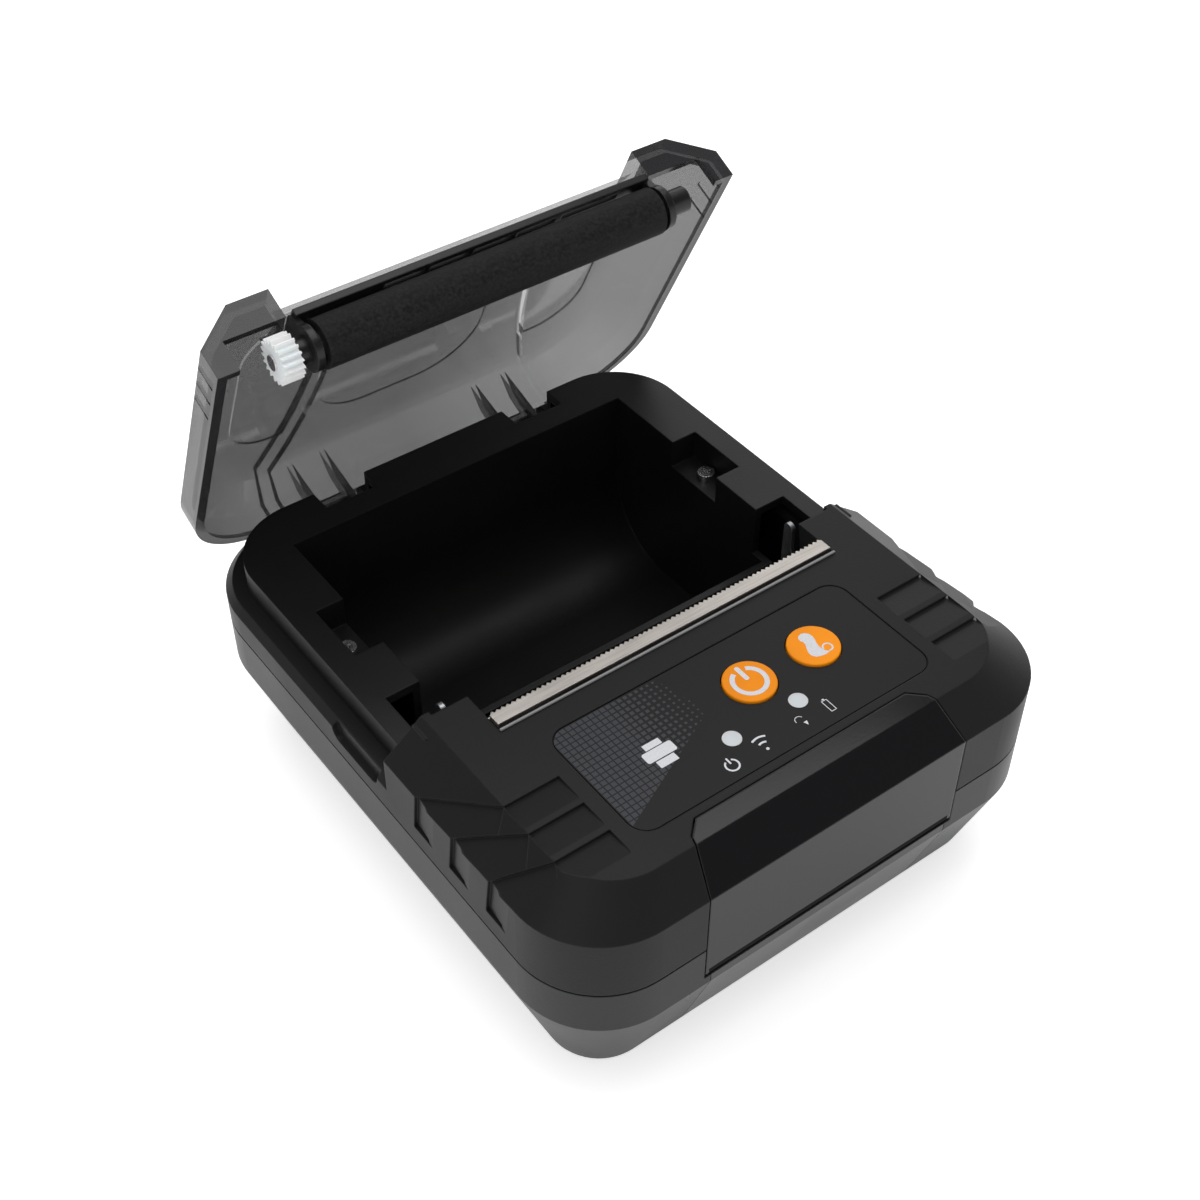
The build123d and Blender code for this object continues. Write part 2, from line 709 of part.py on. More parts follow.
# Main board with its chips, the radio can and the charging socket
board_half = board_post_x + boss_radius
board_rear = door_rear
board_front = front_face + 6.25
board_thickness = 1.6
socket_tongue = 12.0
board_top = board_height + board_thickness
with BuildPart() as main_board:
    with BuildSketch(level(board_height)):
        with Locations((0, (board_front + board_rear) / 2)):
            RectangleRounded(2 * board_half, board_rear - board_front, 1.0)
        with Locations((board_half, socket_y)):
            Rectangle(2 * socket_tongue, socket_width + 1)
        with Locations(*board_posts):
            Circle(screw_radius + 0.2, mode=Mode.SUBTRACT)
    extrude(amount=board_thickness)
    with BuildSketch(level(board_top)):
        with Locations((8, label_centre + 5)):
            Rectangle(12, 12)
        with Locations((-8, label_centre - 10)):
            Rectangle(9, 7)
    extrude(amount=1.2)
    with BuildSketch(level(board_top)):
        with Locations((-20, label_centre + 7), (20, label_centre - 13), (26, label_centre - 13)):
            Circle(2.6)
    extrude(amount=6)
save(main_board.part, "main_board")

with BuildPart() as radio_module:
    with BuildSketch(level(board_top)):
        with Locations((12 - board_half, label_centre - 8)):
            RectangleRounded(13, 15, 0.5)
    extrude(amount=2.2)
save(radio_module.part, "radio_module")

socket_front = body_width / 2 - wall - 0.3
socket_depth = 7.4
with BuildPart() as charging_socket:
    with BuildSketch(side_plane(socket_front - socket_depth)):
        with Locations((socket_y, socket_z)):
            RectangleRounded(socket_width, socket_height, 1.2)
    extrude(amount=socket_depth)
    with BuildSketch(side_plane(socket_front - socket_depth + 1)):
        with Locations((socket_y, socket_z)):
            RectangleRounded(socket_width - 0.7, socket_height - 0.7, 0.9)
    extrude(amount=socket_depth, mode=Mode.SUBTRACT)
    with BuildSketch(side_plane(socket_front - socket_depth + 0.5)):
        with Locations((socket_y, socket_z)):
            Rectangle(socket_width - 2.8, 0.7)
    extrude(amount=socket_depth - 1.6)
save(charging_socket.part, "charging_socket")

# Gear train: pinion, reduction gear and idler beside the left plate of the mechanism
pinion_from_reduction = -100.0  # degrees, in the (y, z) plane
reduction_from_idler = -70.0
idler_from_platen = -140.0
gear_tip_gap = 0.15  # the idler's teeth stay this far from the platen gear's when the lid is shut


def polar(centre, distance, angle):
    return (centre[0] + distance * cos(radians(angle)), centre[1] + distance * sin(radians(angle)))


platen_at = (platen_y, platen_z)
idler_at = polar(platen_at, module * (platen_teeth + idler_teeth + 4) / 2 + gear_tip_gap, idler_from_platen)
reduction_at = polar(idler_at, module * (idler_teeth + small_teeth) / 2 + mesh_play, reduction_from_idler)
pinion_at = polar(reduction_at, module * (large_teeth + pinion_teeth) / 2 + mesh_play,
                  pinion_from_reduction)


def spur_gear(plane, centre, teeth, phase, width, bore):
    """Spur gear with straight-flanked teeth, one of them pointing at the phase angle."""
    pitch_radius = module * teeth / 2
    root = pitch_radius - 1.2 * module
    tip = pitch_radius + 0.9 * module
    with BuildPart() as gear:
        with BuildSketch(plane):
            with Locations(centre):
                Circle(root)
                with PolarLocations(0, teeth, phase):
                    Polygon((root - 0.2, -0.92 * module), (pitch_radius, -0.68 * module),
                            (tip, -0.3 * module), (tip, 0.3 * module),
                            (pitch_radius, 0.68 * module), (root - 0.2, 0.92 * module), align=None)
                Circle(bore, mode=Mode.SUBTRACT)
        extrude(amount=width)
    return gear.part


gear_inner_x = gear_outer_x - gear_face
idler_width = 3.0
idler_x = -gear_inner_x - 0.5 - idler_width
large_width = 2.2
large_x = idler_x - 0.5 - large_width
stud_radius = 1.0
stud_play = 0.05

save(spur_gear(side_plane(idler_x), idler_at, idler_teeth,
               reduction_from_idler, idler_width, stud_radius + stud_play),
     "idler_gear")
with BuildPart() as reduction_gear:
    add(spur_gear(side_plane(large_x), reduction_at, large_teeth,
                  pinion_from_reduction, large_width, stud_radius + stud_play))
    add(spur_gear(side_plane(large_x), reduction_at, small_teeth,
                  reduction_from_idler + 180 + 180 / small_teeth, idler_x + idler_width - large_x,
                  stud_radius + stud_play))
save(reduction_gear.part, "reduction_gear")
save(spur_gear(side_plane(large_x), pinion_at, pinion_teeth,
               pinion_from_reduction + 180 + 180 / pinion_teeth, large_width, motor_shaft_radius),
     "motor_pinion")

with BuildPart() as gear_studs:
    with BuildSketch(side_plane(idler_x - 0.3)):
        with Locations(idler_at):
            Circle(stud_radius)
    extrude(amount=-chassis_left - idler_x + 0.3)
    with BuildSketch(side_plane(large_x - 0.3)):
        with Locations(reduction_at):
            Circle(stud_radius)
    extrude(amount=-chassis_left - large_x + 0.3)
save(gear_studs.part, "gear_studs")

# Stepper motor with its shaft
motor_face = -chassis_left + sheet
with BuildPart() as stepper_motor:
    with BuildSketch(side_plane(motor_face)):
        with Locations(pinion_at):
            Circle(motor_radius)
    extrude(amount=motor_length)
    fillet(stepper_motor.edges().group_by(Axis.X)[-1], 0.6)
    with BuildSketch(side_plane(motor_face)):
        with Locations(pinion_at):
            Circle(motor_shaft_radius + stud_play)
    extrude(amount=motor_length - 2, mode=Mode.SUBTRACT)
save(stepper_motor.part, "stepper_motor")

with BuildPart() as motor_shaft:
    with BuildSketch(side_plane(large_x - 0.3)):
        with Locations(pinion_at):
            Circle(motor_shaft_radius)
    extrude(amount=motor_face + motor_length - 3 - large_x + 0.3)
save(motor_shaft.part, "motor_shaft")

# Mechanism frame: bent sheet with a side plate at each end, open-topped slots for the bushings
frame_top = bevel_height - 1.2
slot_half = bushing_radius + 0.6
head_face = platen_y - platen_radius - head_gap
head_pivot_y = head_face - head_thickness - sink_thickness / 2
head_pivot_z = platen_z - 13.2
pivot_rod_radius = 1.25
with BuildPart() as mechanism_frame:
    for x in (-chassis_left, chassis_right - sheet):
        with BuildSketch(side_plane(x)) as plate:
            with Locations(((chassis_front + chassis_rear) / 2, (frame_foot + frame_top) / 2)):
                Rectangle(chassis_rear - chassis_front, frame_top - frame_foot)
            with Locations(platen_at):
                Circle(slot_half, mode=Mode.SUBTRACT)
            with Locations((platen_y, platen_z + frame_top / 2)):
                Rectangle(2 * slot_half, frame_top, mode=Mode.SUBTRACT)
            with Locations((head_pivot_y, head_pivot_z)):
                Circle(pivot_rod_radius, mode=Mode.SUBTRACT)
            fillet(plate.vertices().group_by(Axis.Y)[-1], 1.15)
        extrude(amount=sheet)
    with BuildSketch(side_plane(-chassis_left)):
        with Locations(pinion_at):
            Circle(motor_shaft_radius + 1)
    extrude(amount=sheet, mode=Mode.SUBTRACT)
    add(slab(frame_foot, frame_top, (-chassis_left, chassis_right), (chassis_front, chassis_front + sheet)))
    add(slab(frame_foot, frame_foot + sheet, (-chassis_left, chassis_right), (chassis_front, chassis_rear - 5)))
    with BuildSketch(level(frame_foot - 1)):
        with Locations(*frame_screw_at):
            Circle(screw_radius + 0.2)
    extrude(amount=3, mode=Mode.SUBTRACT)
save(mechanism_frame.part, "mechanism_frame")

# Print head: ceramic strip on an aluminium sink that rocks on a rod
head_top = bevel_height + 0.5
head_low = platen_z - 5.7
with BuildPart() as print_head:
    add(slab(head_low, head_top, (-head_half, head_half), (head_face - head_thickness, head_face)))
save(print_head.part, "print_head")

sink_rear = head_face - head_thickness - sink_thickness
with BuildPart() as head_heatsink:
    with BuildSketch(side_plane(-head_half)):
        with Locations((head_pivot_y, (head_pivot_z + head_top + 1) / 2)):
            Rectangle(sink_thickness, head_top + 1 - head_pivot_z)
        with Locations((head_pivot_y, head_pivot_z)):
            Circle(pivot_rod_radius + 1.2)
            Circle(pivot_rod_radius + stud_play, mode=Mode.SUBTRACT)
    extrude(amount=2 * head_half)
save(head_heatsink.part, "head_heatsink")

with BuildPart() as head_pivot_rod:
    with BuildSketch(side_plane(-chassis_left - 0.5)):
        with Locations((head_pivot_y, head_pivot_z)):
            Circle(pivot_rod_radius)
    extrude(amount=chassis_left + chassis_right + 1)
save(head_pivot_rod.part, "head_pivot_rod")

# Coil springs behind the head
spring_x = platen_half - 12.2
spring_z = platen_z + 2.8
spring_wire = 0.3
spring_coil = 1.9
spring_turns = 3
spring_start = chassis_front + sheet + spring_wire + 0.05
spring_run = sink_rear - 0.05 - spring_wire - spring_start
with BuildPart() as head_springs:
    for x in (-spring_x, spring_x):
        with BuildLine():
            Helix(spring_run / spring_turns, spring_run, spring_coil, center=(x, spring_start, spring_z),
                  direction=(0, 1, 0))
        wire_start = Plane(origin=head_springs.pending_edges[0] @ 0, z_dir=head_springs.pending_edges[0] % 0)
        with BuildSketch(wire_start):
            Circle(spring_wire)
        sweep()
save(head_springs.part, "head_springs")

# Paper guide below the platen, with the paper sensor let into it
guide_top = well_lip - 0.4
guide_height = 3.4
sensor_size = (6.0, 3.6)
guide_y = (head_face + 0.8, chassis_rear + 0.3)
with BuildPart() as paper_guide:
    add(slab(guide_top - guide_height, guide_top, (-head_half, head_half), guide_y))
    add(slab(guide_top - 1.8, guide_top + 1, (-sensor_size[0] / 2 - fit / 2, sensor_size[0] / 2 + fit / 2),
             (platen_y - sensor_size[1] / 2 - fit / 2, platen_y + sensor_size[1] / 2 + fit / 2)),
        mode=Mode.SUBTRACT)
save(paper_guide.part, "paper_guide")

with BuildPart() as paper_sensor:
    add(slab(guide_top - 1.8, guide_top - 0.1, (-sensor_size[0] / 2, sensor_size[0] / 2),
             (platen_y - sensor_size[1] / 2, platen_y + sensor_size[1] / 2)))
save(paper_sensor.part, "paper_sensor")

# Battery contacts on a block beside the mechanism
contact_pitch = 4.0
contact_low = 7.0
contact_high = 12.0
block_half = 8.0
block_y = (door_rear + 0.4, chassis_front - 0.2)
with BuildPart() as contact_block:
    add(slab(floor_top, contact_high + 2, (-block_half, block_half), block_y))
save(contact_block.part, "contact_block")
with BuildPart() as battery_contacts:
    for number in (-1, 0, 1):
        x = number * contact_pitch
        add(slab(contact_low, contact_high, (x - 1, x + 1), (block_y[0] - 0.6, block_y[0])))
save(battery_contacts.part, "battery_contacts")

# Lid: smoked shell with two ears at the front, hinge arms at the rear, modelled shut and swung open
lid_front = cover_rear + 0.5
lid_bottom = ledge_height + seam
ear_inner_x = exit_half + 0.8
ear_low = bevel_height + 0.2
ear_rear = lid_front + lid_lip + lip_slope
middle_front = lid_front + lid_lip
middle_top = top_height - lip_drop


def lid_plan(height, side, rear, corner, front=0.0):
    with BuildSketch(lid_level(height)) as outline:
        with Locations((0, (lid_front + front + rear_face - rear) / 2 - hinge_y)):
            Rectangle(body_width - 2 * side, rear_face - rear - lid_front - front)
        fillet(outline.vertices().group_by(Axis.Y)[-1], corner)
    return outline.sketch


def lid_slab(low, high, x_range, y_range):
    """A box given at its shut place, swung open with the lid."""
    with BuildPart() as box:
        with BuildSketch(lid_level(low)):
            with Locations(((x_range[0] + x_range[1]) / 2, (y_range[0] + y_range[1]) / 2 - hinge_y)):
                Rectangle(x_range[1] - x_range[0], y_range[1] - y_range[0])
        extrude(amount=high - low)
    return box.part


def lid_block(inset, low, front):
    """The lid's outer form, drawn in by a wall."""
    shoulder = bevel_height - inset * half_turn(side_bevel, top_height - bevel_height)
    crown = inset * tan(atan2(top_height - bevel_height, side_bevel) / 2)
    with BuildPart() as block:
        extrude(lid_plan(low, inset, inset, rear_corner - inset, front), amount=shoulder - low)
        loft([lid_plan(shoulder, inset, inset, rear_corner - inset, front).face(),
              lid_plan(top_height - inset, side_bevel + crown, rear_bevel + crown,
                       top_rear_corner - crown, front).face()], ruled=True)
    return block.part


# raised panel along the lid's middle and down its rear wall, flared towards the rear
panel_front = lid_front + 17.4
panel_slope = 4.0
panel_half_front = 25.0
panel_half_middle = 28.0
panel_half_rear = 38.0


def panel_plan(height, inset):
    front, rear = panel_front - 1 - hinge_y, rear_face + 5 - hinge_y
    with BuildSketch(lid_level(height)) as plan:
        with BuildLine():
            ThreePointArc((panel_half_front - inset, front), (panel_half_middle - inset, (front + rear) / 2),
                          (panel_half_rear - inset, rear))
            Line((panel_half_rear - inset, rear), (inset - panel_half_rear, rear))
            ThreePointArc((inset - panel_half_rear, rear), (inset - panel_half_middle, (front + rear) / 2),
                          (inset - panel_half_front, front))
            Line((inset - panel_half_front, front), (panel_half_front - inset, front))
        make_face()
    return plan.sketch


def lid_panel(inset):
    """The raised panel: the lid's outer form grown by the rise, within the panel's plan."""
    top = top_height + plateau_rise - inset
    start = panel_front + inset / 2
    with BuildPart() as panel:
        add(lid_block(inset - plateau_rise, lid_bottom, 0))
        extrude(panel_plan(lid_bottom - 1, inset), amount=top_height, mode=Mode.INTERSECT)
        with BuildSketch(lid_side(-body_width)):
            Polygon(shut(start, lid_bottom - 5), shut(start, top - plateau_rise), shut(start + panel_slope, top),
                    shut(rear_face + 5, top), shut(rear_face + 5, lid_bottom - 5), align=None)
        extrude(amount=2 * body_width, mode=Mode.INTERSECT)
    return panel.part


# shallow field either side of the panel, and a shallow lens in the panel
field_half = body_width / 2 - 13.5
field_y = (lid_front + 14.0, rear_face - 17.0)
field_corner = 11.0
field_depth = 0.5
lens_x = -3.0
lens_width = 40.0
lens_y = (panel_front + panel_slope + 2.0, rear_face - 15.0)
lens_corner = min(14.0, 0.45 * (lens_y[1] - lens_y[0]))
lens_depth = 0.4
rail_low = bevel_height - 0.9
rail_height = 1.4
rail_y = (platen_y - 2.7, platen_y + 8.4)
rail_screw_at = [(-platen_half + 5.2, rail_y[1] - 2), (platen_half - 5.2, rail_y[1] - 2)]
rail_screw_end = middle_top + 0.2
arm_low = ledge_height - 1.0
rib_profile = [(rear_face - 0.35, hinge_z), (rear_face - 0.35, lid_bottom + 0.5),
               (rear_face + 0.2, lid_bottom + 1.5), (rear_face + 0.2, bevel_height),
               (rear_face - 2.5, top_height - 1.4), (rear_face - 3.6, top_height - 1.9),
               (hinge_y - knuckle_radius, hinge_z)]

with BuildPart() as lid_shell:
    add(lid_block(0, lid_bottom, 0.0))
    with BuildSketch(lid_level(top_height - field_depth)):
        with Locations((0, sum(field_y) / 2 - hinge_y)):
            RectangleRounded(2 * field_half, field_y[1] - field_y[0], field_corner)
    extrude(amount=2 * field_depth, mode=Mode.SUBTRACT)
    add(lid_panel(0))
    with BuildSketch(lid_level(top_height + plateau_rise - lens_depth)):
        with Locations((lens_x, sum(lens_y) / 2 - hinge_y)):
            RectangleRounded(lens_width, lens_y[1] - lens_y[0], lens_corner)
    extrude(amount=2 * lens_depth, mode=Mode.SUBTRACT)
    add(lid_block(lid_wall, lid_bottom - 1, ear_wall), mode=Mode.SUBTRACT)
    add(lid_panel(lid_wall), mode=Mode.SUBTRACT)
    # the front is open below the ears, and its middle is set back and sloped down to a lip
    add(lid_slab(lid_bottom - 1, ear_low, (-body_width / 2 + deck_inset, body_width / 2 - deck_inset),
                 (lid_front - 1, lid_front + ear_wall + 0.01)), mode=Mode.SUBTRACT)
    for side in (-1, 1):
        inner, outer = sorted((side * ear_inner_x, side * (ear_inner_x + ear_wall)))
        add(lid_slab(ear_low, top_height - lid_wall / 2, (inner, outer), (lid_front, ear_rear)))
    add(lid_slab(lid_bottom - 1, top_height + 3, (-ear_inner_x, ear_inner_x),
                 (lid_front - 1, ear_rear)), mode=Mode.SUBTRACT)
    with BuildSketch(lid_side(-ear_inner_x - ear_wall / 2)):
        Polygon(shut(middle_front, middle_top - lid_wall), shut(middle_front, middle_top),
                shut(ear_rear, top_height), shut(ear_rear, top_height - lid_wall), align=None)
    extrude(amount=2 * ear_inner_x + ear_wall)
    # hinge arms: the rear wall runs down into each notch, with two ribs and two knuckles
    for x in hinge_arms:
        add(lid_slab(arm_low, lid_bottom + 1, (x - arm_width / 2, x + arm_width / 2),
                     (rear_face - lid_wall, rear_face)))
        for start in (x - arm_width / 2, x + arm_width / 2 - knuckle_length):
            with BuildSketch(lid_side(start)):
                Circle(knuckle_radius)
            extrude(amount=knuckle_length)
        for start in (x - arm_width / 2, x + arm_width / 2 - arm_rib):
            with BuildSketch(lid_side(start)):
                Polygon(*[shut(*point) for point in rib_profile], align=None)
            extrude(amount=arm_rib)
        with BuildSketch(lid_side(x - arm_width)):
            Circle(hinge_pin_radius + 0.06)
        extrude(amount=2 * arm_width, mode=Mode.SUBTRACT)
    with BuildSketch(lid_level(rail_low)):
        with Locations(*[(x, y - hinge_y) for x, y in rail_screw_at]):
            Circle(screw_radius)
    extrude(amount=rail_screw_end + 0.1 - rail_low, mode=Mode.SUBTRACT)
    # fine grip ridges on the ears
    for side in (-1, 1):
        for number in range(3):
            y = lid_front + 5 + 5 * number
            inner, outer = sorted((side * (body_width / 2 - 0.5), side * (body_width / 2 + 1)))
            add(lid_slab(lid_bottom + 1, bevel_height, (inner, outer), (y, y + 0.7)), mode=Mode.SUBTRACT)
save(lid_shell.part, "lid_shell")

# Hinge pins in the rear blocks
with BuildPart() as hinge_pins:
    for x in hinge_arms:
        with BuildSketch(side_plane(x - notch_width / 2 - hinge_cheek + 0.4)):
            with Locations((hinge_y, hinge_z)):
                Circle(hinge_pin_radius)
        extrude(amount=notch_width + 2 * hinge_cheek - 0.8)
save(hinge_pins.part, "hinge_pins")

# Platen carrier under the lid's lip: slotted rail with an end plate for each bushing
rail_half = exit_half - 0.4
rail_slot_width = 1.4
rail_slots = [(-16.2, 8.7), (-6.5, 8.7), (3.2, 8.7), (12.9, 8.7), (25.2, 13.0)]  # centre x, length
lobe_radius = 4.4


def lip_underside(y):
    return middle_top - lid_wall + lip_drop * (y - middle_front) / lip_slope


with BuildPart() as platen_carrier:
    add(lid_slab(rail_low, rail_low + rail_height, (-rail_half, rail_half), rail_y))
    with BuildSketch(lid_level(rail_low - 1)):
        for x, length in rail_slots:
            with Locations((x, rail_y[0] + 1.2 + rail_slot_width / 2 - hinge_y)):
                Rectangle(length, rail_slot_width)
    extrude(amount=rail_height + 2, mode=Mode.SUBTRACT)
    with BuildSketch(lid_side(-platen_half)):
        riser = (rail_y[1] - 4, rail_y[1])
        Polygon(shut(riser[0], rail_low + rail_height - 0.2), shut(riser[1], rail_low + rail_height - 0.2),
                shut(riser[1], lip_underside(riser[1])), shut(riser[0], lip_underside(riser[0])),
                align=None)
    extrude(amount=2 * platen_half)
    for start in (-bracket_inner - bracket_thickness, bracket_inner):
        with BuildSketch(lid_side(start)):
            with Locations(shut(*platen_at)):
                Circle(lobe_radius)
            Polygon(shut(platen_y - 1.1, rail_low + rail_height), shut(platen_y + 3.9, rail_low + rail_height),
                    shut(platen_y + lobe_radius - 0.3, platen_z), shut(platen_y - lobe_radius + 0.3, platen_z),
                    align=None)
            with Locations(shut(*platen_at)):
                Circle(bushing_radius, mode=Mode.SUBTRACT)
        extrude(amount=bracket_thickness)
    with BuildSketch(lid_level(rail_low - 1)):
        with Locations(*[(x, y - hinge_y) for x, y in rail_screw_at]):
            Circle(screw_radius + 0.2)
    extrude(amount=rail_screw_end + 1 - rail_low, mode=Mode.SUBTRACT)
save(platen_carrier.part, "platen_carrier")


def roller_ring(ranges, outer, inner=0.0):
    """Round pieces on the platen's axis, each between two x values."""
    with BuildPart() as ring:
        for low, high in ranges:
            with BuildSketch(lid_side(low)):
                with Locations(shut(*platen_at)):
                    Circle(outer)
                    if inner:
                        Circle(inner, mode=Mode.SUBTRACT)
            extrude(amount=high - low)
    return ring.part


bushing_end = chassis_right - 0.2
save(roller_ring([(-gear_inner_x + 0.3, -bracket_inner), (bracket_inner, bushing_end)], bushing_radius,
                 shaft_radius + stud_play), "platen_bushings")
save(roller_ring([(-platen_half, platen_half)], platen_radius, platen_core), "platen_rubber")
with BuildPart() as platen_shaft:
    add(roller_ring([(-gear_outer_x - 0.4, bushing_end - 0.4)], shaft_radius))
    add(roller_ring([(-platen_half - 0.5, platen_half + 0.5)], platen_core))
save(platen_shaft.part, "platen_shaft")
save(spur_gear(lid_side(-gear_outer_x), shut(*platen_at), platen_teeth, 0, gear_face, shaft_radius),
     "platen_gear")

# Torsion springs round the hinge pins, between the knuckles
lid_spring_wire = 0.25
lid_spring_coil = hinge_pin_radius + lid_spring_wire + 0.15
lid_spring_turns = 4
lid_spring_run = arm_width - 2 * knuckle_length - 1.0
with BuildPart() as lid_springs:
    for x in hinge_arms:
        with BuildLine():
            Helix(lid_spring_run / lid_spring_turns, lid_spring_run, lid_spring_coil,
                  center=(x - lid_spring_run / 2, hinge_y, hinge_z), direction=(1, 0, 0))
        with BuildSketch(Plane(origin=lid_springs.pending_edges[0] @ 0,
                               z_dir=lid_springs.pending_edges[0] % 0)):
            Circle(lid_spring_wire)
        sweep()
save(lid_springs.part, "lid_springs")


# Screws with a cross recess
def screws(plane_at, places, seat, length, way):
    """Pan-head screws seated at a height, their shanks pointing up (way 1) or down (way -1)."""
    with BuildPart() as group:
        with BuildSketch(plane_at(seat)):
            with Locations(*places):
                Circle(screw_head)
        extrude(amount=-way * screw_head_height)
        with BuildSketch(plane_at(seat)):
            with Locations(*places):
                Circle(screw_radius)
        extrude(amount=way * length)
        with BuildSketch(plane_at(seat - way * (screw_head_height + 0.1))):
            with Locations(*places):
                Rectangle(1.2 * screw_head, 0.25 * screw_head)
                Rectangle(0.25 * screw_head, 1.2 * screw_head)
        extrude(amount=way * 0.6 * screw_head_height, mode=Mode.SUBTRACT)
    return group.part


save(screws(level, corner_bosses, floor_top + 1, parting_height - floor_top + 3, 1), "housing_screws")
save(screws(level, tub_screws, pocket_floor, 9.0, -1), "tub_screws")
save(screws(level, board_posts, board_top, 7.0, -1), "board_screws")
save(screws(level, [(-key_post_x, label_centre), (key_post_x, label_centre)], key_board_height,
            key_screw_reach, 1), "key_board_screws")
save(screws(level, frame_screw_at, frame_foot + sheet, frame_foot - 1.2 + sheet, -1), "frame_screws")
save(screws(lid_level, [(x, y - hinge_y) for x, y in rail_screw_at], rail_low,
            rail_screw_end - rail_low, 1), "carrier_screws")
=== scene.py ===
from math import cos, radians, sin

import bmesh
import bpy
from mathutils import Matrix, Vector


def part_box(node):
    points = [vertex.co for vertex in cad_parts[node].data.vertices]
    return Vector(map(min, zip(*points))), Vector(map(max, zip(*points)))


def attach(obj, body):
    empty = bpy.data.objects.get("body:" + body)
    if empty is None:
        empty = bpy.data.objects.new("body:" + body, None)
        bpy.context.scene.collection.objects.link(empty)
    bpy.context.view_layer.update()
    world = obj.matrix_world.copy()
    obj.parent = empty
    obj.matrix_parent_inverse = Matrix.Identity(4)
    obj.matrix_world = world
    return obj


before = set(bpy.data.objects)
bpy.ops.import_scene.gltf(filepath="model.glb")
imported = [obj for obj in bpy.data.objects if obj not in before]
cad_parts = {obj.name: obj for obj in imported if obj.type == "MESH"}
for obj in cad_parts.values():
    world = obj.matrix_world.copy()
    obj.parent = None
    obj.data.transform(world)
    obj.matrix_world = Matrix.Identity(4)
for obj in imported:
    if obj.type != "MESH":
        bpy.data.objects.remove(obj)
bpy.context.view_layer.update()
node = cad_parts

# Camera
# It stands in front of the printer on its left and looks down on it, as in the photograph.
turned, tilted, rolled = radians(-36.938), radians(43.614), radians(0.326)
stand = Vector((-0.15178, -0.19874, 0.28416))
focal_pixels, photo_pixels = 1777.8, 1200
behind = Vector((sin(turned) * cos(tilted), -cos(turned) * cos(tilted), sin(tilted)))
level_right = (-behind).cross(Vector((0, 0, 1))).normalized()
upright = level_right.cross(-behind)
cam_right = cos(rolled) * level_right + sin(rolled) * upright
cam_up = cos(rolled) * upright - sin(rolled) * level_right
lens = bpy.data.cameras.new("camera")
lens.sensor_width = 36
lens.lens = lens.sensor_width * focal_pixels / photo_pixels
lens.clip_start, lens.clip_end = 0.01, 20
camera = bpy.data.objects.new("camera", lens)
camera.matrix_world = Matrix((
    (cam_right.x, cam_up.x, behind.x, stand.x),
    (cam_right.y, cam_up.y, behind.y, stand.y),
    (cam_right.z, cam_up.z, behind.z, stand.z),
    (0, 0, 0, 1)))
bpy.context.scene.collection.objects.link(camera)
bpy.context.scene.camera = camera
bpy.context.scene.view_settings.view_transform = "Standard"


# Studio
# A white surround, a pale floor that keeps the shadow, and soft lamps above, left and behind.
# Mirror rays see a bright horizon and a dark zenith, as the photograph's highlights do.
class Socket:
    """An output of a node, with arithmetic that adds Math nodes to the same tree."""

    def __init__(self, tree, out):
        self.tree, self.out = tree, out

    def make(self, kind, values=(), out=0, **settings):
        """Adds a node of any type: its settings first, then the values or links of its sockets."""
        made = self.tree.nodes.new(kind)
        for name, value in settings.items():
            setattr(made, name, value)
        pairs = values.items() if isinstance(values, dict) else enumerate(values)
        for key, value in pairs:
            if isinstance(value, Socket):
                self.tree.links.new(value.out, made.inputs[key])
            elif value is not None:
                made.inputs[key].default_value = value
        return Socket(self.tree, made.outputs[out])

    def maths(self, operation, *values):
        return self.make("ShaderNodeMath", values, operation=operation)

    def __add__(self, other):
        return self.maths("ADD", self, other)

    def __radd__(self, other):
        return self.maths("ADD", other, self)

    def __sub__(self, other):
        return self.maths("SUBTRACT", self, other)

    def __rsub__(self, other):
        return self.maths("SUBTRACT", other, self)

    def __mul__(self, other):
        return self.maths("MULTIPLY", self, other)

    def __rmul__(self, other):
        return self.maths("MULTIPLY", other, self)

    def __truediv__(self, other):
        return self.maths("DIVIDE", self, other)

    def __gt__(self, other):
        return self.maths("GREATER_THAN", self, other)

    def __lt__(self, other):
        return self.maths("LESS_THAN", self, other)

    def __abs__(self):
        return self.maths("ABSOLUTE", self)

    def most(self, other):
        return self.maths("MAXIMUM", self, other)

    def fraction(self):
        return self.maths("FRACT", self)

    def axes(self):
        """The three parts of a vector."""
        return [self.make("ShaderNodeSeparateXYZ", (self,), out=axis) for axis in "XYZ"]

    def blend(self, low, high):
        """Mixes two colours, or sockets that carry colours, by this value."""
        return self.make("ShaderNodeMix", {0: self, 6: low, 7: high}, out=2, data_type="RGBA")

    def fade(self, low, high, to_low=0.0, to_high=1.0):
        return self.make("ShaderNodeMapRange", (self, low, high, to_low, to_high))


world = bpy.data.worlds.new("studio")
bpy.context.scene.world = world
world.use_nodes = True
world.node_tree.nodes.clear()
sky = Socket(world.node_tree, None)
ray = {name: sky.make("ShaderNodeLightPath", out=f"Is {name} Ray")
       for name in ("Camera", "Glossy", "Transmission")}
height = sky.make("ShaderNodeTexCoord", out="Generated").axes()[2]
horizon_glow, overhead_glow, scattered_glow = 0.9, 0.06, 0.62
mirrored = height.fade(0.0, 0.4, horizon_glow, overhead_glow)
seen = ray["Camera"].most(ray["Transmission"])
strength = seen + (1 - seen) * (ray["Glossy"] * mirrored + (1 - ray["Glossy"]) * scattered_glow)
surround = sky.make("ShaderNodeBackground", ((1, 1, 1, 1), strength))
world_out = world.node_tree.nodes.new("ShaderNodeOutputWorld")
world.node_tree.links.new(surround.out, world_out.inputs["Surface"])

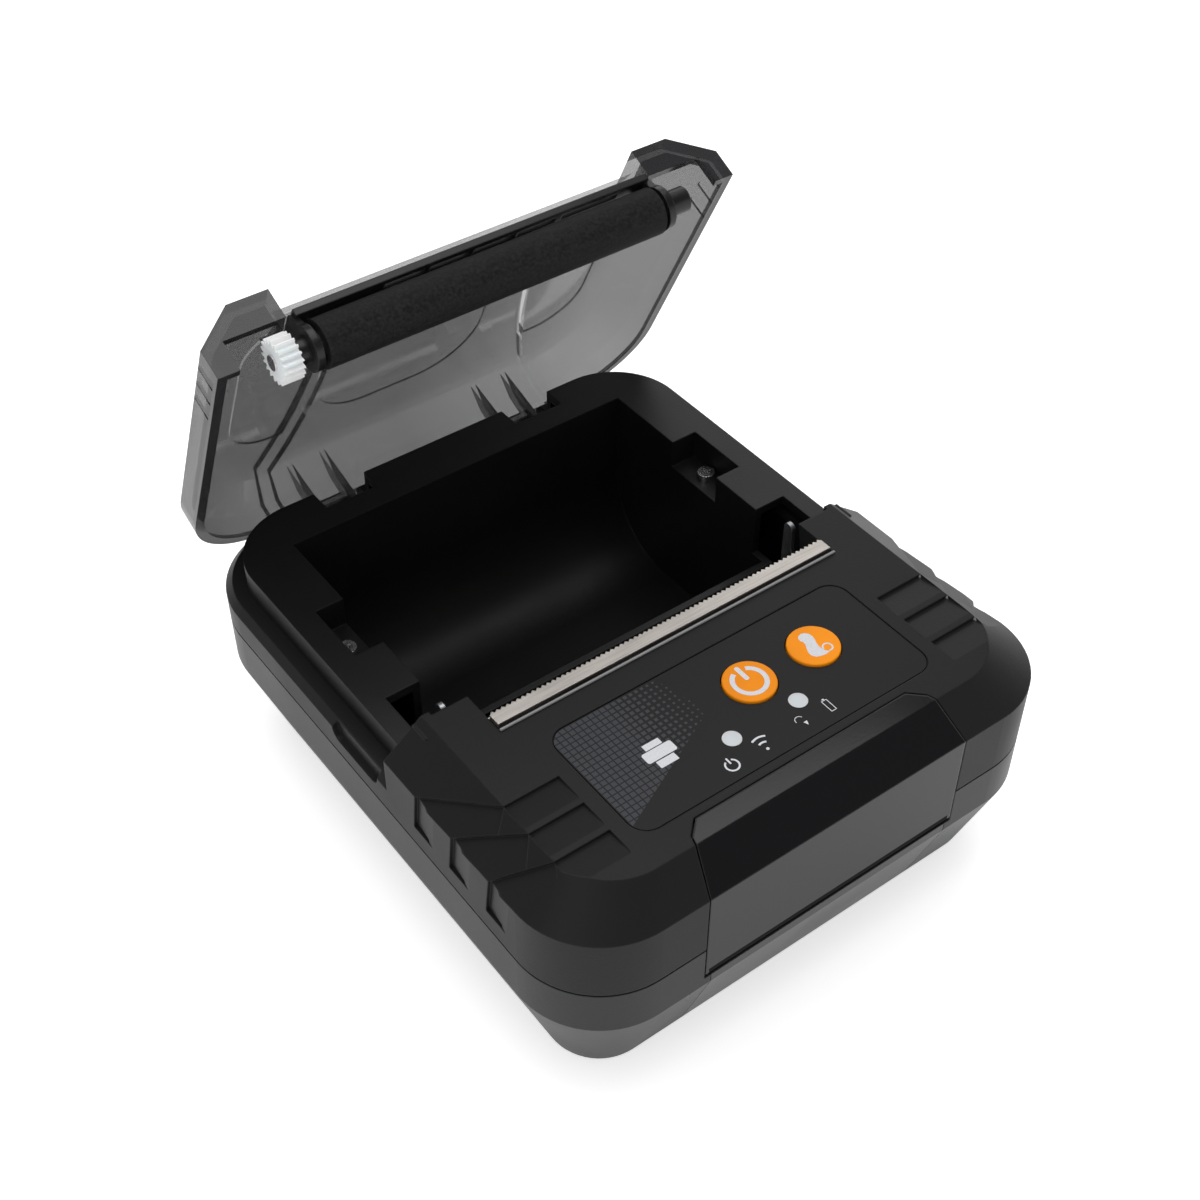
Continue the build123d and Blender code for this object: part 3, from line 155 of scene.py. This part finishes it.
mesh = bmesh.new()
bmesh.ops.create_grid(mesh, x_segments=1, y_segments=1, size=3)
floor_mesh = bpy.data.meshes.new("floor")
mesh.to_mesh(floor_mesh)
mesh.free()
floor = bpy.data.objects.new("floor", floor_mesh)
floor.location.z = -0.0002
bpy.context.scene.collection.objects.link(floor)
paper = bpy.data.materials.new("pale_floor")
paper.use_nodes = True
pale = paper.node_tree.nodes["Principled BSDF"]
pale.inputs["Base Color"].default_value = (0.82, 0.82, 0.82, 1)
pale.inputs["Roughness"].default_value = 0.9
pale.inputs["Specular IOR Level"].default_value = 0.0
pale.inputs["Emission Color"].default_value = (1, 1, 1, 1)
lit = Socket(paper.node_tree, None)
on_camera, through, mirrored, scattered = (
    lit.make("ShaderNodeLightPath", out=f"Is {name} Ray")
    for name in ("Camera", "Transmission", "Glossy", "Diffuse"))
glow = (on_camera.most(through) * 0.55).most(mirrored * 0.1).most(scattered * 0.45)
paper.node_tree.links.new(glow.out, pale.inputs["Emission Strength"])
floor.data.materials.append(paper)

aim = Vector((0, 0, 0.03))
# Name, place, size across and watts.
for name, at, size, power in (
        ("top_lamp", (0.05, 0.15, 0.95), 0.9, 4.0),
        ("left_lamp", (-0.9, -0.35, 0.6), 0.6, 1.2),
        ("rear_lamp", (0.75, 0.75, 0.55), 0.6, 1.2)):
    light = bpy.data.lights.new(name, "AREA")
    light.size = size
    light.energy = power
    lamp = bpy.data.objects.new(name, light)
    lamp.location = at
    lamp.rotation_euler = (aim - Vector(at)).to_track_quat("-Z", "Y").to_euler()
    bpy.context.scene.collection.objects.link(lamp)


# Housing, cover and tub
# The cover, the tray and the paper tub are black plastic mouldings with a fine satin skin, held by
# screws from below. A small lip in front of the tear bar has a painted highlight, and the tray's
# downward slopes a painted reflection of the floor.
def finish_of(name, colour, roughness, **fixed):
    """A material whose shader takes a plain colour, a roughness and fixed values for its sockets."""
    made = bpy.data.materials.new(name)
    made.use_nodes = True
    shader = made.node_tree.nodes["Principled BSDF"]
    shader.inputs["Base Color"].default_value = (*colour, 1)
    shader.inputs["Roughness"].default_value = roughness
    for socket, value in fixed.items():
        shader.inputs[socket.replace("_", " ")].default_value = value
    return made


def plug(material, **links):
    """Links values to sockets of a material's shader."""
    shader = material.node_tree.nodes["Principled BSDF"]
    for socket, value in links.items():
        material.node_tree.links.new(value.out, shader.inputs[socket.replace("_", " ")])
    return material


def surface_of(material):
    """The start of a pattern: a socket with the point's place on the object, in metres."""
    return Socket(material.node_tree, None).make("ShaderNodeTexCoord", out="Object")


def grain(place, size, detail=2.0):
    return place.make("ShaderNodeTexNoise", {"Vector": place, "Scale": 1 / size, "Detail": detail})


def soft_edges(place, radius):
    return place.make("ShaderNodeBevel", {"Radius": radius}, samples=4)


def bumped(place, height, depth, normal=None):
    return place.make("ShaderNodeBump", {"Distance": depth, "Height": height, "Normal": normal})


def moulded(name, colour, roughness, grain_size=0.0006, depth=0.00002, edge=0.0004, **fixed):
    """Moulded plastic: a fine skin, slightly uneven gloss, and edges that catch the light."""
    plastic = finish_of(name, colour, roughness, **fixed)
    place = surface_of(plastic)
    skin = grain(place, grain_size)
    patches = grain(place, 0.02, 3.0)
    darker, lighter = [c * 0.85 for c in colour], [min(1, c * 1.15) for c in colour]
    shade = patches.fade(0.3, 0.7).blend((*darker, 1), (*lighter, 1))
    gloss = patches.fade(0.3, 0.7, roughness - 0.03, roughness + 0.04)
    return plug(plastic, Base_Color=shade, Roughness=gloss,
                Normal=bumped(place, skin, depth, soft_edges(place, edge)))


def dress(material, *names):
    for name in names:
        piece = node[name]
        piece.data.materials.clear()
        piece.data.materials.append(material)


cover_colour = (0.0145, 0.0145, 0.015)
satin_black = moulded("satin_black", cover_colour, 0.36, Specular_IOR_Level=0.2)
x, y, z = surface_of(satin_black).axes()
tear_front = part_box("tear_bar")[0][1]
lip_half, lip_level, lip_near, lip_far = 0.0405, 0.0522, 0.0008, 0.0013
# Painted highlight: a pale band along the edge of the cover's lip just in front of the tear bar.
lip_highlight_mask = (z > lip_level) * (abs(x) < lip_half) * (y < tear_front - lip_near) * (y > tear_front - lip_far)
lip_highlight_colour = (0.28, 0.28, 0.28)
plug(satin_black, Base_Color=lip_highlight_mask.blend((*cover_colour, 1), (*lip_highlight_colour, 1)))
dress(satin_black, "upper_housing")
# The tub is a deeper black than the cover: painted shade for the deep paper well.
tub_black = moulded("tub_black", (0.004, 0.004, 0.0045), 0.42)
dress(tub_black, "paper_tub")
tray_colour, slope_reflection_colour = (0.021, 0.021, 0.022), (0.06, 0.06, 0.062)
graphite = moulded("graphite_tray", tray_colour, 0.3, Specular_IOR_Level=0.36)
# Painted reflection: faces that look downwards get a paler colour, standing for the floor's light on the
# tray's slopes.
facing = surface_of(graphite).make("ShaderNodeTexCoord", out="Normal")
downwards = facing.axes()[2] < -0.15
plug(graphite, Base_Color=downwards.blend((*tray_colour, 1), (*slope_reflection_colour, 1)))
dress(graphite, "lower_housing")
dress(moulded("door_black", (0.02, 0.02, 0.021), 0.2, Specular_IOR_Level=0.9), "battery_door")

# Front panel
# A separate black trim plate let into the cover's nose, smoother and glossier than the cover.
panel_colour, panel_roughness = (0.008, 0.008, 0.009), 0.14
gloss_black = moulded("gloss_black", panel_colour, panel_roughness, depth=0.000004)
x, y, z = surface_of(gloss_black).axes()
panel_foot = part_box("front_panel")[0][2]
# Painted shade: a black, fully rough band along the panel's foot stands for the shadow in the slot under it.
shade_band_height, shade_band_half = 0.0011, 0.0288
slot_shade_mask = (z < panel_foot + shade_band_height) * (abs(x) < shade_band_half)
plug(gloss_black, Base_Color=slot_shade_mask.blend((*panel_colour, 1), (0, 0, 0, 1)),
     Roughness=slot_shade_mask.fade(0, 1, panel_roughness, 1.0))
dress(gloss_black, "front_panel")

# Label film
# A printed polycarbonate film in a shallow recess: black, with a field of small grey squares
# at its left end that shrink towards the keys. The signs are screen printed on it in pale grey.
film_colour, square_colour = (0.0125, 0.0125, 0.013), (0.046, 0.049, 0.056)
film = finish_of("label_print", film_colour, 0.38, Specular_IOR_Level=0.22)
place = surface_of(film)
x, y = (part * 1000 for part in place.axes()[:2])
pitch, widest, narrowest = 1.25, 0.4, 0.12
half = (x + 14).fade(-8, 7, widest, narrowest)
across, along = (abs((part / pitch).fraction() - 0.5) < half for part in (x, y))
field = ((y + 34.8 - x * 0.484) > 0) * (x < -7.5 - abs(y + 36) * 0.25)
tone = (across * along * field).blend((*film_colour, 1), (*square_colour, 1))
plug(film, Base_Color=tone, Normal=bumped(place, grain(place, 0.0004), 0.000006))
dress(film, "label_film")

printed = finish_of("pale_print", (0.66, 0.67, 0.7), 0.5)
ink_grain = grain(surface_of(printed), 0.0003).fade(0.3, 0.7)
plug(printed, Base_Color=ink_grain.blend((0.6, 0.61, 0.64, 1), (0.7, 0.71, 0.74, 1)))


def band(mesh, centre, inner, outer, start, sweep, steps=24):
    """A flat arc between two radii, from a start angle through a sweep, in millimetres."""
    line = [mesh.verts.new((centre[0] + r * cos(radians(start)), centre[1] + r * sin(radians(start)), 0))
            for r in (inner, outer)]
    bmesh.ops.spin(mesh, geom=line + [mesh.edges.new(line)], cent=(*centre, 0), axis=(0, 0, 1),
                   angle=radians(sweep), steps=steps, use_merge=sweep == 360)


def patch(mesh, *corners):
    mesh.faces.new([mesh.verts.new((*corner, 0)) for corner in corners])


def plate(mesh, x, y, width, height, corner=0.0):
    """A flat rectangle about a centre, its corners rounded."""
    made = bmesh.ops.create_grid(mesh, x_segments=1, y_segments=1, size=0.5)["verts"]
    bmesh.ops.scale(mesh, vec=(width, height, 1), verts=made)
    bmesh.ops.translate(mesh, vec=(x, y, 0), verts=made)
    if corner:
        bmesh.ops.bevel(mesh, geom=made, offset=corner, segments=6, affect="VERTICES", profile=0.5,
                        material=-1)


def print_on(name, body, mesh, level, finish, ink=0.02):
    """Lays the ink on its surface as a thin solid, and turns its millimetres into metres."""
    bmesh.ops.remove_doubles(mesh, verts=mesh.verts, dist=0.001)
    bmesh.ops.recalc_face_normals(mesh, faces=mesh.faces)
    if mesh.faces[:][0].normal.z < 0:
        bmesh.ops.reverse_faces(mesh, faces=mesh.faces)
    bmesh.ops.translate(mesh, vec=(0, 0, level + ink), verts=mesh.verts)
    bmesh.ops.solidify(mesh, geom=mesh.faces, thickness=ink)
    bmesh.ops.scale(mesh, vec=(0.001, 0.001, 0.001), verts=mesh.verts)
    shape = bpy.data.meshes.new(name)
    mesh.to_mesh(shape)
    mesh.free()
    shape.materials.append(finish)
    piece = bpy.data.objects.new(name, shape)
    bpy.context.scene.collection.objects.link(piece)
    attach(piece, body)


film_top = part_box("label_film")[1][2] * 1000
signs = bmesh.new()
power_mark = (-11.6, -50.6)
band(signs, power_mark, 1.1, 1.45, 118, 304)
plate(signs, power_mark[0], power_mark[1] + 1.1, 0.35, 1.5, 0.15)
radio_mark = (-4.2, -51.35)
for reach in (1.65, 3.0):
    band(signs, radio_mark, reach - 0.2, reach + 0.2, 58, 58, 10)
band(signs, radio_mark, 0.02, 0.32, 0, 360, 16)
battery_x, battery_y, stroke = 11.3, -50.0, 0.15
for side in (-1, 1):
    plate(signs, battery_x + side * 0.55, battery_y, stroke, 2.9)
    plate(signs, battery_x, battery_y + side * 1.4, 0.96, stroke)
plate(signs, battery_x, battery_y + 1.7, 0.5, 0.26)
feed_mark = (4.7, -49.6)
band(signs, feed_mark, 0.8, 0.94, 20, 170, 12)
patch(signs, (4.9, -50.4), (5.7, -50.4), (5.3, -51.4))
printer_x = -19.9
for middle_y, width, height, corner in (
        (-38.6, 3.6, 1.4, 0.15), (-40.75, 6.4, 2.5, 0.5), (-43.1, 3.9, 1.7, 0.15)):
    plate(signs, printer_x, middle_y, width, height, corner)
print_on("film_signs", "body", signs, film_top, printed)

# Keys
# Orange moulded caps, each with a printed sign: the usual power sign, and a curling strip of
# paper for the feed.
orange = moulded("orange_cap", (0.93, 0.28, 0.004), 0.42, depth=0.000008, Specular_IOR_Level=0.15)
dress(orange, "power_key", "feed_key")
key_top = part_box("power_key")[1][2] * 1000
power_sign = bmesh.new()
power_at, stroke = (3.5, -37.3), 0.95
band(power_sign, power_at, 2.7, 2.7 + stroke, 115, 310, 40)
plate(power_sign, power_at[0], power_at[1] + 2.25, stroke, 3.7, 0.42)
print_on("power_sign", "power_button", power_sign, key_top, printed)
feed_sign = bmesh.new()
patch(feed_sign, (17.55, -35.1), (17.65, -34.4), (18.1, -33.95), (18.85, -33.75), (19.6, -34.0),
      (20.1, -34.7), (20.2, -35.5), (20.0, -36.4), (19.6, -37.3), (19.45, -38.2), (19.5, -39.1),
      (19.75, -39.7), (20.3, -40.3), (19.2, -40.45), (18.2, -40.3), (17.3, -39.95), (16.75, -39.2),
      (16.75, -38.3), (17.2, -37.3), (17.7, -36.4), (17.8, -35.6))
band(feed_sign, (20.6, -39.25), 0.75, 1.1, -110, 290, 20)
print_on("feed_sign", "feed_button", feed_sign, key_top, printed)

# Lamp windows
# Milky acrylic light pipes, flush with the film.
milk = finish_of("milky_lens", (0.78, 0.72, 0.70), 0.3, Subsurface_Weight=0.3)
place = surface_of(milk)
plug(milk, Normal=bumped(place, grain(place, 0.0008), 0.00001))
dress(milk, "left_lamp_lens", "right_lamp_lens")

# Tear bar
# A stamped strip of bright steel with fine teeth, brushed along its length.
def metal(name, colour, roughness, across=(1, 1, 1), size=0.0004, depth=0.00001):
    """Metal with a drawn or brushed grain, stretched along one axis by across."""
    made = finish_of(name, colour, roughness, Metallic=1.0)
    place = surface_of(made)
    drawn = place.make("ShaderNodeMapping", {"Vector": place, "Scale": across})
    lines = grain(drawn, size, 3.0)
    shade = lines.fade(0.3, 0.7).blend((*[c * 0.8 for c in colour], 1), (*colour, 1))
    return plug(made, Base_Color=shade, Roughness=lines.fade(0.3, 0.7, roughness - 0.06, roughness + 0.08),
                Normal=bumped(place, lines, depth, soft_edges(place, 0.0002)))


tear_steel = metal("tear_steel", (0.78, 0.73, 0.68), 0.38, across=(0.04, 1, 1))
dress(tear_steel, "tear_bar")

# Lid
# One smoked polycarbonate moulding, polished inside and out, that swings on two pins. Its cut rim
# and its ribs look darker, and its front lip and the steps of its raised panel lighter.
smoked = finish_of("smoked_polycarbonate", (0.028, 0.028, 0.03), 0.07, IOR=1.58)
place = surface_of(smoked)
x, y, z = place.axes()
# A point's place with the lid shut, swung back round the hinge.
swing, hinge_y, hinge_z = radians(64), 0.06425, 0.0355
shut_y = hinge_y + (y - hinge_y) * cos(swing) - (z - hinge_z) * sin(swing)
shut_z = hinge_z + (y - hinge_y) * sin(swing) + (z - hinge_z) * cos(swing)
along_x, along_y, along_z = place.make("ShaderNodeTexCoord", out="Normal").axes()
standing = abs(along_y * sin(swing) + along_z * cos(swing)) < 0.75
ear_inner, ear_front = 0.0402, -0.0052
ear = abs(x) > ear_inner
rib_half, rib_front, rim_level = 0.031, 0.048, 0.0403
rib = (abs(along_x) > 0.9) * (abs(x) < rib_half) * (shut_y > rib_front)
cut_rim = (shut_z < rim_level).most(rib).most(ear * (shut_y < ear_front))
lip_rear = 0.0015
front_lip = (1 - ear) * (shut_y < lip_rear)
step_half, step_front, step_rear, step_level = 0.0445, 0.006, 0.055, 0.0465
along_panel = (abs(x) < step_half) * (shut_y > step_front) * (shut_y < step_rear)
step = standing * along_panel * (shut_z > step_level)
glancing = place.make("ShaderNodeLayerWeight", (0.35,), out="Facing")
wall_tint, rim_tint = 0.67, 0.93
# Painted reflection: the lid is made clearer towards its right side, so that it reads lighter there.
tint = wall_tint + glancing * 0.14 - x.fade(0.0, 0.05, 0.0, 0.12) - front_lip * 0.25 - step * 0.28
polish = grain(place, 0.012).fade(0.3, 0.7, 0.05, 0.12)
plug(smoked, Alpha=tint.most(cut_rim * rim_tint), Roughness=polish)
dress(smoked, "lid_shell")

# Platen
# A ground black rubber sleeve on a steel shaft, white nylon gear on its left end, black bushings
# and a black slotted carrier screwed under the lid's lip.
rubber = finish_of("ground_rubber", (0.012, 0.012, 0.012), 0.7, Specular_IOR_Level=0.3)
place = surface_of(rubber)
speck = grain(place, 0.0006, 5.0)
shade = speck.fade(0.35, 0.7).blend((0.0025, 0.0025, 0.0025, 1), (0.018, 0.018, 0.018, 1))
plug(rubber, Base_Color=shade, Normal=bumped(place, speck, 0.00006),
     Roughness=speck.fade(0.3, 0.7, 0.65, 0.85))
dress(rubber, "platen_rubber")
nylon = moulded("white_nylon", (0.99, 0.985, 0.98), 0.42, edge=0.0001, Subsurface_Weight=0.15)
dress(nylon, "platen_gear", "idler_gear", "reduction_gear")
bearing = moulded("bearing_black", (0.012, 0.012, 0.012), 0.3)
dress(bearing, "platen_carrier", "platen_bushings", "paper_guide", "paper_sensor", "contact_block",
      "key_switches")
bright = metal("bright_steel", (0.85, 0.85, 0.86), 0.2, depth=0.000002)
dress(bright, "platen_shaft", "hinge_pins", "lid_springs", "carrier_screws", "housing_screws", "tub_screws",
      "board_screws", "key_board_screws", "frame_screws", "head_pivot_rod", "head_springs", "gear_studs",
      "motor_shaft", "charging_socket")

# Print mechanism
# Folded zinc-plated sheet, a glazed ceramic head on an extruded aluminium sink, a tin-can motor.
zinc = metal("zinc_sheet", (0.6, 0.61, 0.63), 0.35, size=0.003)
dress(zinc, "mechanism_frame", "stepper_motor", "radio_module")
glaze = finish_of("glazed_ceramic", (0.7, 0.66, 0.55), 0.2)
place = surface_of(glaze)
plug(glaze, Normal=bumped(place, grain(place, 0.001), 0.00001))
dress(glaze, "print_head")
extruded = metal("extruded_aluminium", (0.72, 0.73, 0.74), 0.4, across=(0.05, 1, 1))
dress(extruded, "head_heatsink")
brass = metal("brass", (0.8, 0.6, 0.28), 0.3)
dress(brass, "motor_pinion", "battery_contacts")

# Electronics
# Green boards with solder mask, and the battery in its shrink wrap.
mask = finish_of("solder_mask", (0.03, 0.16, 0.07), 0.35)
place = surface_of(mask)
tracks = place.make("ShaderNodeTexVoronoi", {"Vector": place, "Scale": 400.0}, feature="DISTANCE_TO_EDGE")
plug(mask, Base_Color=(tracks < 0.08).blend((0.03, 0.16, 0.07, 1), (0.06, 0.26, 0.12, 1)))
dress(mask, "main_board", "key_board")
wrap = finish_of("shrink_wrap", (0.05, 0.11, 0.35), 0.3)
place = surface_of(wrap)
plug(wrap, Normal=bumped(place, grain(place, 0.006), 0.0001))
dress(wrap, "battery_pack")
